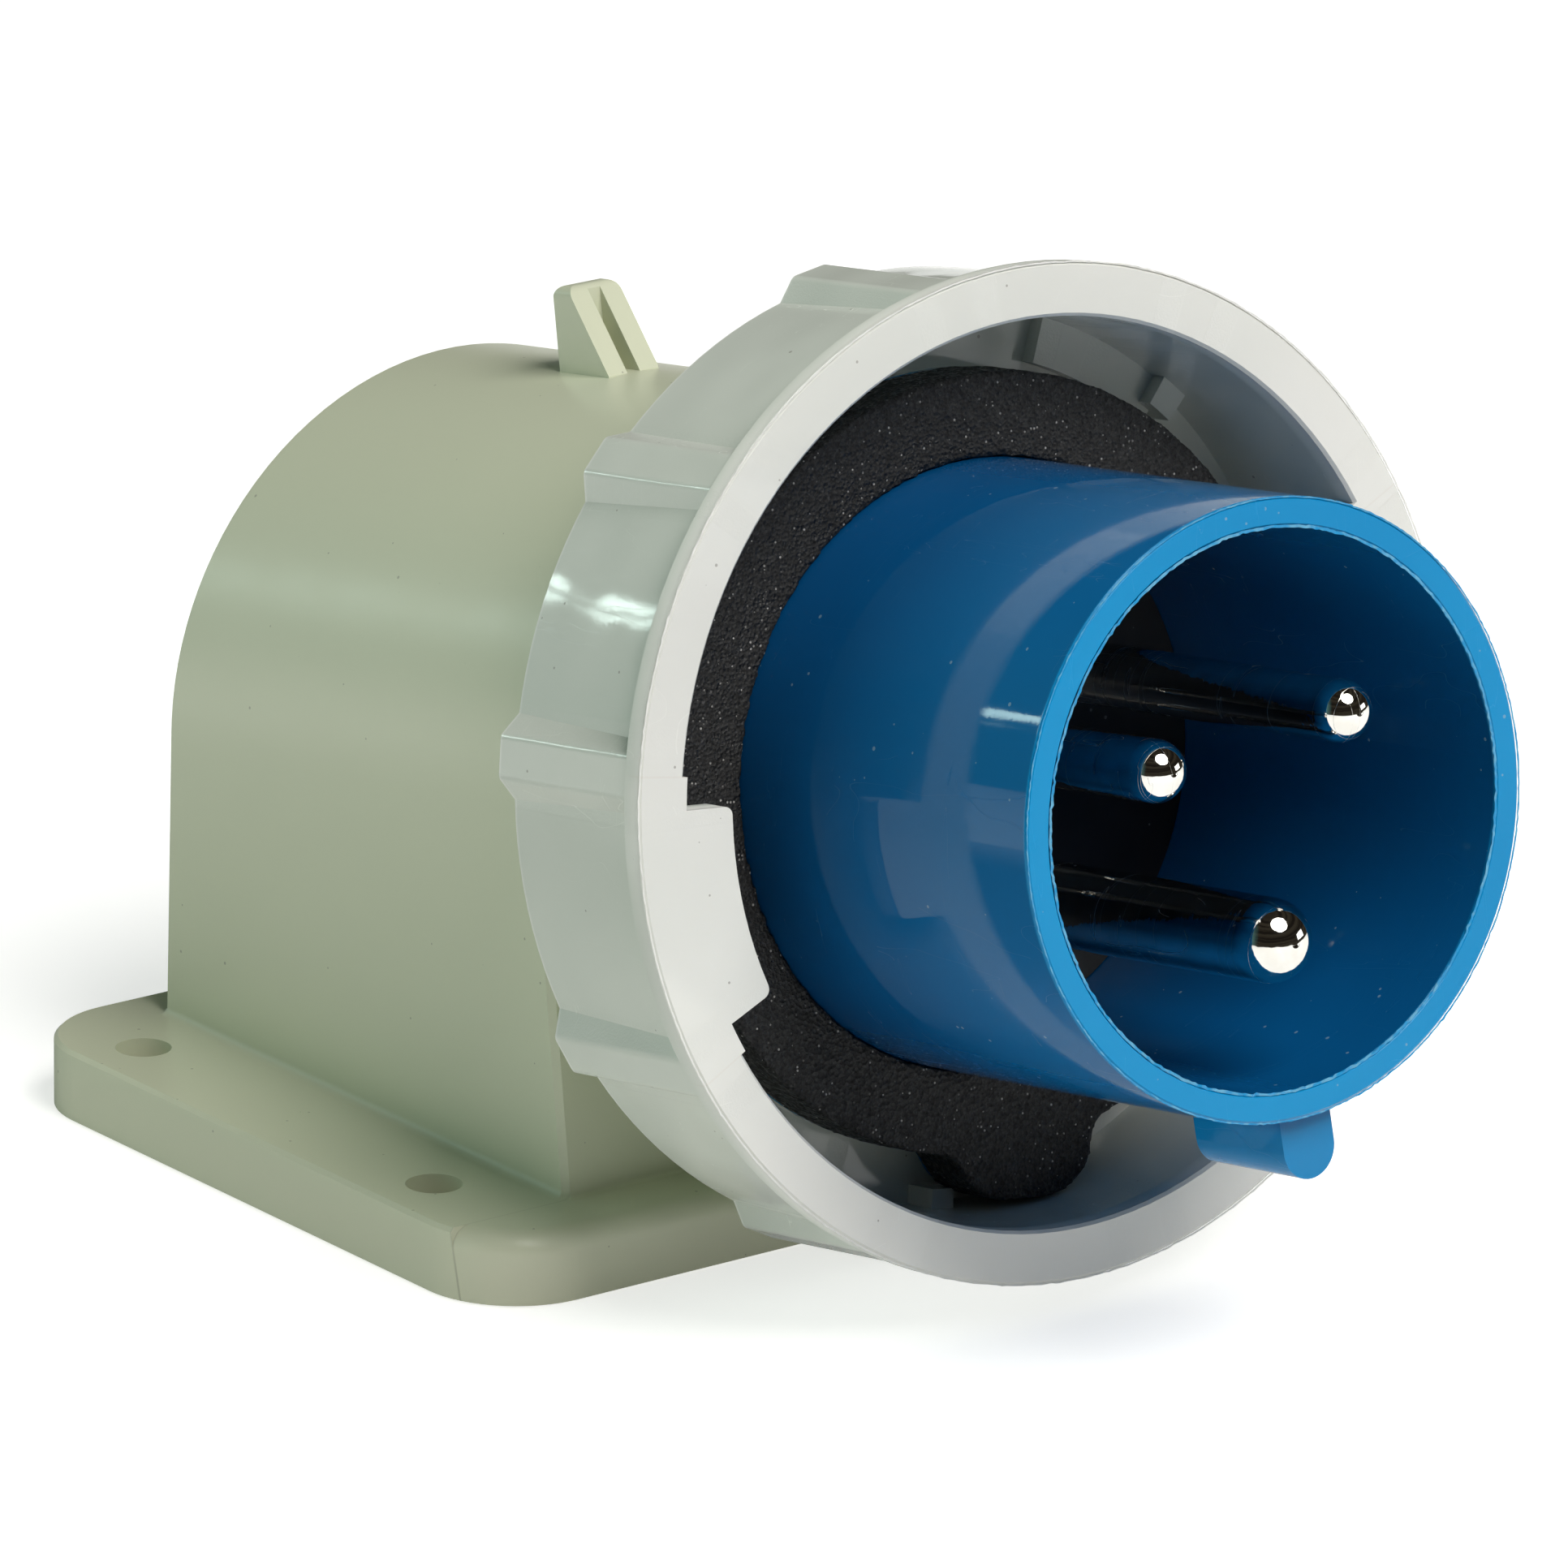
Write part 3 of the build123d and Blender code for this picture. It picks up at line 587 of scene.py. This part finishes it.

# %% [markdown]
# The locking ring is a paler grey, glossier plastic. Its front face and front edge are painted almost
# white: painted light where the key lamp falls full on them. The front edge is rough where flash was
# trimmed, and faint weld lines cross the face where the streams of melt met. The flanks of each grip have a
# frosted sparkle from the spark-eroded mould, and a thin line along the back edge is painted paler. The
# barrel is a little wavy, as thin mouldings are when they shrink, which breaks the window's streak into
# patches. That needs a wide shallow bump below the fine one, so the second bump stands on the first.

# %% Ring plastic
pale = (0.71, 0.74, 0.68, 1)
white = (0.81, 0.81, 0.77, 1)
pale_drift = (0.69, 0.73, 0.67, 1)
weld_brown = (0.62, 0.5, 0.4, 1)
pale_back_line = (0.9, 0.9, 0.87, 1)
ring_dirt = (0.25, 0.23, 0.2, 1)
weld_angles = (169.9, -153.5, 25.0)
weld_reach = 0.0035
first_rib = radians(26.2)
rib_step = radians(36)
flank_start = radians(2.2)
flank_end = radians(6.2)
flank_fade = radians(0.4)
ring_back = -22.2 * mm
back_reach = 0.4 * mm
ring_paint, tree, shader = fresh_material("ring plastic")
point = point_of(tree)
mould = use_group(tree, mould_group, Point=point, Drift_Scale=22.0, Grain_Scale=2200.0)
wear = use_group(tree, wear_group, Point=point, Speck_Share=0.02, Scratch_Share=0.42, Speck_Scale=1500.0)
place_on = use_group(tree, place_group, Point=point)
front = ramp(tree, place_on["Ahead"], -2.5 * mm, -0.2 * mm)
# Painted light: the front face is painted whiter than the barrel, where the key lamp falls on it.
colour = blend_colour(tree, front, pale, white)
colour = blend_colour(tree, ramp(tree, mould["Drift"], 0.4, 0.7, 0.0, 0.3), colour, pale_drift)
weld = 0.0
for angle in weld_angles:
    weld = maths(tree, "MAXIMUM", weld, near_to(tree, place_on["Angle"], radians(angle), weld_reach))
weld = maths(tree, "MULTIPLY", weld, front)
colour = blend_colour(tree, maths(tree, "MULTIPLY", weld, 0.12), colour, weld_brown)
# A thin line along the back edge is painted paler.
back_edge = near_to(tree, place_on["Ahead"], ring_back, back_reach)
colour = blend_colour(tree, maths(tree, "MULTIPLY", back_edge, 0.7), colour, pale_back_line)
colour = blend_colour(tree, maths(tree, "MULTIPLY", wear["Specks"], 0.6), colour, ring_dirt)
tree.links.new(colour, shader.inputs["Base Color"])
gloss = ramp(tree, mould["Gloss"], 0.3, 0.7, 0.06, 0.10)
gloss = maths(tree, "MULTIPLY_ADD", wear["Scratches"], 0.2, gloss)
from_rib = maths(tree, "PINGPONG", maths(tree, "SUBTRACT", place_on["Angle"], first_rib), rib_step / 2)
flank = ramp(tree, from_rib, flank_start, flank_start + flank_fade)
flank_ends = ramp(tree, from_rib, flank_end - flank_fade, flank_end, 1.0, 0.0)
flank = maths(tree, "MULTIPLY", flank, flank_ends)
frost = noise_of(tree, point, 5200.0, 1.0)
tree.links.new(maths(tree, "MULTIPLY_ADD", flank, 0.15, gloss), shader.inputs["Roughness"])
surface = maths(tree, "MULTIPLY_ADD", wear["Scratches"], -0.8, mould["Grain"])
surface = maths(tree, "MULTIPLY_ADD", maths(tree, "MULTIPLY", flank, frost), 9.0, surface)
barrel = maths(tree, "SUBTRACT", 1.0, front)
wave = maths(tree, "MULTIPLY", noise_of(tree, point, 66.0, 1.0), barrel)
wavy = bump_from(tree, wave, 0.8, 0.9 * mm)
tree.links.new(bump_from(tree, surface, 0.1, 0.03 * mm, wavy), shader.inputs["Normal"])
dress("locking_ring", ring_paint)
print(ring_paint.name, len(tree.nodes), "nodes")

# %% [markdown]
# The sleeve is a deep azure blue with a high gloss. Light gets into its thin wall near the rim. That light
# could be simulated, but here it is painted: a colour that follows the distance along the plug makes the
# wall paler towards the rim, and the rim and the key's front palest, a painted glow. Near the root and
# inside the bore the colour stays darker, which is painted shade. Fine dust lies on it.

# %% Sleeve plastic
# root_blue is the painted shade near the ring; wall_blue and azure carry the painted glow.
root_blue = (0.002, 0.083, 0.245, 1)
wall_blue = (0.003, 0.125, 0.335, 1)
azure = (0.005, 0.275, 0.59, 1)
blue_drift = (0.004, 0.15, 0.40, 1)
blue_dust = (0.25, 0.4, 0.5, 1)
rim_start = sleeve_reach - 0.6 * mm
rim_full = sleeve_reach - 0.1 * mm
key_start = sleeve_radius + 0.5 * mm
key_full = sleeve_radius + 2.0 * mm
glow_reach = 26 * mm
wall_inside = sleeve_bore + 0.2 * mm
wall_outside = sleeve_radius - 0.4 * mm
sleeve_paint, tree, shader = fresh_material("sleeve plastic")
point = point_of(tree)
mould = use_group(tree, mould_group, Point=point, Drift_Scale=20.0, Grain_Scale=2500.0)
wear = use_group(tree, wear_group, Point=point, Speck_Share=0.03, Speck_Scale=1300.0, Scratch_Share=0.4)
place_on = use_group(tree, place_group, Point=point)
# Painted light from here to the azure blend: a glow towards the rim and on the key, and painted shade at
# the root and inside the bore.
rim = ramp(tree, place_on["Ahead"], rim_start, rim_full)
on_key = ramp(tree, place_on["Radius"], key_start, key_full, 0.0, 0.6)
rim_and_key_glow = maths(tree, "MAXIMUM", rim, on_key)
painted_glow_along_plug = ramp(tree, place_on["Ahead"], 0.0, glow_reach)
outer_wall_glow = ramp(tree, place_on["Radius"], wall_inside, wall_outside, 0.2, 1.0)
painted_glow_along_plug = maths(tree, "MULTIPLY", painted_glow_along_plug, outer_wall_glow)
colour = blend_colour(tree, painted_glow_along_plug, root_blue, wall_blue)
colour = blend_colour(tree, rim_and_key_glow, colour, azure)
colour = blend_colour(tree, ramp(tree, mould["Drift"], 0.35, 0.7, 0.0, 0.25), colour, blue_drift)
colour = blend_colour(tree, maths(tree, "MULTIPLY", wear["Specks"], 0.6), colour, blue_dust)
tree.links.new(colour, shader.inputs["Base Color"])
gloss = ramp(tree, mould["Gloss"], 0.3, 0.7, 0.035, 0.06)
gloss = maths(tree, "MULTIPLY_ADD", wear["Scratches"], 0.3, gloss)
tree.links.new(maths(tree, "MULTIPLY_ADD", rim, 0.2, gloss), shader.inputs["Roughness"])
surface = maths(tree, "MULTIPLY_ADD", wear["Scratches"], -1.5, mould["Grain"])
tree.links.new(bump_from(tree, surface, 0.08, 0.02 * mm), shader.inputs["Normal"])
shader.inputs["IOR"].default_value = 1.36
shader.inputs["Specular Tint"].default_value = (0.8, 1.0, 1.0, 1)
dress("sleeve", sleeve_paint)
print(sleeve_paint.name, len(tree.nodes), "nodes")

# %% [markdown]
# The pins are brass with bright nickel. The plating is a mirror with fine wiping marks, and the
# rounded tips carry the faint ripple of the turned blank.

# %% Nickel
nickel_bright = (0.80, 0.79, 0.75, 1)
nickel_grey = (0.74, 0.72, 0.67, 1)
nickel, tree, shader = fresh_material("bright nickel")
point = point_of(tree)
wear = use_group(tree, wear_group, Point=point, Speck_Share=0.02, Speck_Scale=1500.0, Scratch_Share=0.5)
ripple = noise_of(tree, point, 420.0, 3.0)
shader.inputs["Metallic"].default_value = 1.0
tint = blend_colour(tree, ramp(tree, ripple, 0.35, 0.65), nickel_bright, nickel_grey)
tree.links.new(tint, shader.inputs["Base Color"])
tree.links.new(maths(tree, "MULTIPLY_ADD", wear["Scratches"], 0.3, 0.05), shader.inputs["Roughness"])
surface = maths(tree, "MULTIPLY_ADD", wear["Scratches"], -0.3, ripple)
tree.links.new(bump_from(tree, surface, 0.35, 0.12 * mm), shader.inputs["Normal"])
for pole in ("line", "neutral", "earth"):
    dress("pin_" + pole, nickel)
print(nickel.name, len(tree.nodes), "nodes")

# %% [markdown]
# The other pieces sit in the dark or inside: the black floor that carries the pins, the plate
# behind it, the rubber seals, and the zinc-plated screws and clamps. Their finishes differ only
# in tone, gloss and grain, so one function makes all three from those values.


# %% Black plastic, rubber and zinc
grey_dust = (0.3, 0.3, 0.3, 1)


def simple_paint(name, tones, gloss_range, metal, grain, grain_scale):
    """A plain finish: two close tones, a range of roughness and a fine grain."""
    material, tree, shader = fresh_material(name)
    point = point_of(tree)
    mould = use_group(tree, mould_group, Point=point, Drift_Scale=40.0, Grain_Scale=grain_scale)
    wear = use_group(tree, wear_group, Point=point, Speck_Share=0.03, Speck_Scale=1200.0)
    colour = blend_colour(tree, ramp(tree, mould["Drift"], 0.35, 0.65), *tones)
    colour = blend_colour(tree, maths(tree, "MULTIPLY", wear["Specks"], 0.4), colour, grey_dust)
    tree.links.new(colour, shader.inputs["Base Color"])
    tree.links.new(ramp(tree, mould["Gloss"], 0.3, 0.7, *gloss_range), shader.inputs["Roughness"])
    surface = maths(tree, "MULTIPLY_ADD", wear["Scratches"], -0.5, mould["Grain"])
    tree.links.new(bump_from(tree, surface, grain, 0.04 * mm), shader.inputs["Normal"])
    shader.inputs["Metallic"].default_value = metal
    return material


black_tones = ((0.008, 0.008, 0.009, 1), (0.013, 0.013, 0.014, 1))
rubber_tones = ((0.014, 0.014, 0.014, 1), (0.022, 0.022, 0.022, 1))
zinc_tones = ((0.6, 0.6, 0.58, 1), (0.52, 0.53, 0.53, 1))
black = simple_paint("black plastic", black_tones, (0.3, 0.42), metal=0, grain=0.3, grain_scale=1800)
rubber = simple_paint("seal rubber", rubber_tones, (0.5, 0.65), metal=0, grain=0.4, grain_scale=1400)
zinc = simple_paint("zinc-plated steel", zinc_tones, (0.29, 0.38), metal=1, grain=0.25, grain_scale=1100)
for name in ("contact_carrier", "pin_retainer"):
    dress(name, black)
for name in ("flange_seal", "base_seal"):
    dress(name, rubber)
for name in ("terminal_screws", "retainer_screws", "insert_screws"):
    dress(name, zinc)
for pole in ("line", "neutral", "earth"):
    dress("pin_seal_" + pole, rubber)
    dress("clamp_" + pole, zinc)
print("hidden parts dressed")

# %% [markdown]
# The sealing ring is stamped from a sheet of fine black foam, so its face is full of tiny open
# cells that glint, and its edge is a little uneven. A flat solid can't show that. The piece
# starts as a copy of the solid. The sheet's outer edge folds back over the flange behind it, so
# the copy's back edge is moved to reach over it. Then it is remeshed into small even faces and
# pushed in and out by a noise pattern. The cells themselves are finer than a mesh can hold and
# come from the material.

# %% Foam ring
foam_lip = 3.0 * mm
same_place = 0.01 * mm
back_tolerance = 0.1 * mm
lip_inside = sleeve_radius + 2 * mm
even_face = 0.4 * mm
bpy.ops.object.select_all(action="DESELECT")
gasket = nodes["front_gasket"]
gasket.select_set(True)
bpy.context.view_layer.objects.active = gasket
bpy.ops.object.duplicate()
foam = bpy.context.object
foam.parent = None
foam.name = "foam_ring"
bpy.ops.object.mode_set(mode="EDIT")
bpy.ops.mesh.select_all(action="SELECT")
bpy.ops.mesh.remove_doubles(threshold=same_place)
bpy.ops.object.mode_set(mode="OBJECT")
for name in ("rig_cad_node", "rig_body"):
    if name in foam:
        del foam[name]
foam_back = min((vertex.co - plug_centre).dot(plug_ahead) for vertex in foam.data.vertices)
for vertex in foam.data.vertices:
    from_centre = vertex.co - plug_centre
    far_ahead = from_centre.dot(plug_ahead)
    from_axis = (from_centre - plug_ahead * far_ahead).length
    if far_ahead < foam_back + back_tolerance and from_axis > lip_inside:
        vertex.co -= plug_ahead * foam_lip
remesh = foam.modifiers.new("even faces", "REMESH")
remesh.mode = "VOXEL"
remesh.voxel_size = even_face
bpy.ops.object.modifier_apply(modifier=remesh.name)
clouds = bpy.data.textures.new("cell walls", "CLOUDS")
clouds.noise_scale = 1.2 * mm
clouds.noise_depth = 3
swell = foam.modifiers.new("uneven skin", "DISPLACE")
swell.texture = clouds
swell.strength = 0.22 * mm
swell.mid_level = 0.5
bpy.ops.object.modifier_apply(modifier=swell.name)
bpy.ops.object.shade_smooth()
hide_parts("front_gasket")
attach(foam, "inlet")
print(foam.name, len(foam.data.polygons), "faces")

# %% [markdown]
# Voronoi cells stand for the open cells of the foam. Their distance from the middle is the depth of each
# pit, and a rough noise tears the walls between them. Where that noise sinks the surface the colour is
# darker too, which is painted shade in the pits. In a few of the cells a pale dot is painted where a
# wet-looking wall would catch the lamp, a painted glint, and every cell has its own gloss.

# %% Foam finish
foam_pit_shade = (0.002, 0.002, 0.002, 1)
foam_skin = (0.024, 0.024, 0.024, 1)
foam_painted_glint = (0.5, 0.49, 0.47, 1)
glint_share = 0.11
glint_size = 0.3
foam_paint, tree, shader = fresh_material("open-cell foam")
point = point_of(tree)
cells = put(tree, "ShaderNodeTexVoronoi", Vector=point, Scale=2600.0)
tone = noise_of(tree, point, 2200.0, 4.0, 0.8)
# Darker where the noise sinks the surface: painted shade in the pits.
colour = blend_colour(tree, ramp(tree, tone, 0.35, 0.65), foam_pit_shade, foam_skin)
tint = put(tree, "ShaderNodeSeparateColor", Color=cells.outputs["Color"])
glint = maths(tree, "LESS_THAN", tint.outputs[0], glint_share)
middle = maths(tree, "LESS_THAN", cells.outputs["Distance"], glint_size)
glint = maths(tree, "MULTIPLY", glint, middle)
# A pale dot in a few cells: a painted glint, where a wet wall would catch the lamp.
colour = blend_colour(tree, maths(tree, "MULTIPLY", glint, tint.outputs[1]), colour, foam_painted_glint)
tree.links.new(colour, shader.inputs["Base Color"])
tree.links.new(ramp(tree, tint.outputs[2], 0.0, 1.0, 0.35, 0.8), shader.inputs["Roughness"])
depth = maths(tree, "ADD", cells.outputs["Distance"], tone)
tree.links.new(bump_from(tree, depth, 1.0, 0.25 * mm), shader.inputs["Normal"])
foam.data.materials.clear()
foam.data.materials.append(foam_paint)
print(foam_paint.name, len(tree.nodes), "nodes")

# %% [markdown]
# Both edges of the sleeve's rim and the ring's front edge were trimmed by hand, and a hair-thin
# ragged fin was left on each. A fin is a circle at the edge, extruded a little, made ragged by
# moving its points at random, and given a wall. A bump could not do it, because the fin shows
# against what is behind it as an uneven outline. A negative reach grows the fin inwards.

# %% Trimming fins
plug_turned = Matrix((plug_right, plug_up, plug_ahead)).transposed().to_euler()
fin_wall = 0.05 * mm


def trimming_fin(name, radius, ahead, reach, rag, points, seed, lift=0.0):
    """A ragged fin round the plug's axis, from a radius outwards by its reach."""
    bpy.ops.object.select_all(action="DESELECT")
    place = plug_centre + plug_ahead * ahead
    bpy.ops.mesh.primitive_circle_add(vertices=points, radius=radius, location=place, rotation=plug_turned)
    fin = bpy.context.object
    fin.name = name
    bpy.ops.object.transform_apply(location=True, rotation=True, scale=True)
    bpy.ops.object.mode_set(mode="EDIT")
    bpy.ops.mesh.select_all(action="SELECT")
    bpy.ops.transform.vertex_random(offset=rag, seed=seed)
    bpy.ops.mesh.extrude_edges_move()
    grow = 1 + reach / radius
    bpy.ops.transform.resize(value=(grow, grow, grow), center_override=place)
    bpy.ops.transform.translate(value=plug_ahead * lift)
    bpy.ops.transform.vertex_random(offset=rag, seed=seed + 1)
    bpy.ops.object.mode_set(mode="OBJECT")
    wall = fin.modifiers.new("wall", "SOLIDIFY")
    wall.thickness = fin_wall
    wall.offset = 0
    bpy.ops.object.modifier_apply(modifier=wall.name)
    bpy.ops.object.mode_set(mode="EDIT")
    bpy.ops.mesh.select_all(action="SELECT")
    bpy.ops.mesh.normals_make_consistent(inside=False)
    bpy.ops.object.mode_set(mode="OBJECT")
    print(name, len(fin.data.polygons), "faces")
    return fin


rim_fin = trimming_fin(
    "rim_fin",
    radius=sleeve_radius - 0.14 * mm,
    ahead=sleeve_reach,
    reach=0.14 * mm,
    rag=0.05 * mm,
    points=460,
    seed=3,
    lift=0.03 * mm,
)
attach(rim_fin, "inlet")
bore_fin = trimming_fin(
    "bore_fin",
    radius=sleeve_bore + 0.15 * mm,
    ahead=sleeve_reach - 0.02 * mm,
    reach=-0.26 * mm,
    rag=0.09 * mm,
    points=400,
    seed=5,
)
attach(bore_fin, "inlet")
ring_fin = trimming_fin(
    "ring_fin",
    radius=ring_radius - 0.08 * mm,
    ahead=-0.02 * mm,
    reach=0.16 * mm,
    rag=0.05 * mm,
    points=520,
    seed=8,
)
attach(ring_fin, "ring")

# %% [markdown]
# Plastic that is torn rather than moulded turns pale and dull. The fins get the colour of their
# piece, whitened by patches of a fine noise, and no gloss.

# %% Torn plastic
torn_blue_pale = (0.12, 0.40, 0.62, 1)
torn_grey_pale = (0.85, 0.85, 0.82, 1)


def torn_paint(name, colour, whitened):
    """A dull finish in the piece's colour, with whitened patches."""
    material, tree, shader = fresh_material(name)
    point = point_of(tree)
    patches = ramp(tree, noise_of(tree, point, 900.0, 3.0), 0.42, 0.62)
    tree.links.new(blend_colour(tree, patches, colour, whitened), shader.inputs["Base Color"])
    tree.links.new(ramp(tree, patches, 0.0, 1.0, 0.35, 0.7), shader.inputs["Roughness"])
    torn_surface = bump_from(tree, noise_of(tree, point, 3000.0), 0.5, 0.05 * mm)
    tree.links.new(torn_surface, shader.inputs["Normal"])
    return material


torn_blue = torn_paint("torn blue", azure, torn_blue_pale)
rim_fin.data.materials.append(torn_blue)
bore_fin.data.materials.append(torn_blue)
ring_fin.data.materials.append(torn_paint("torn grey", white, torn_grey_pale))
print("fins dressed")
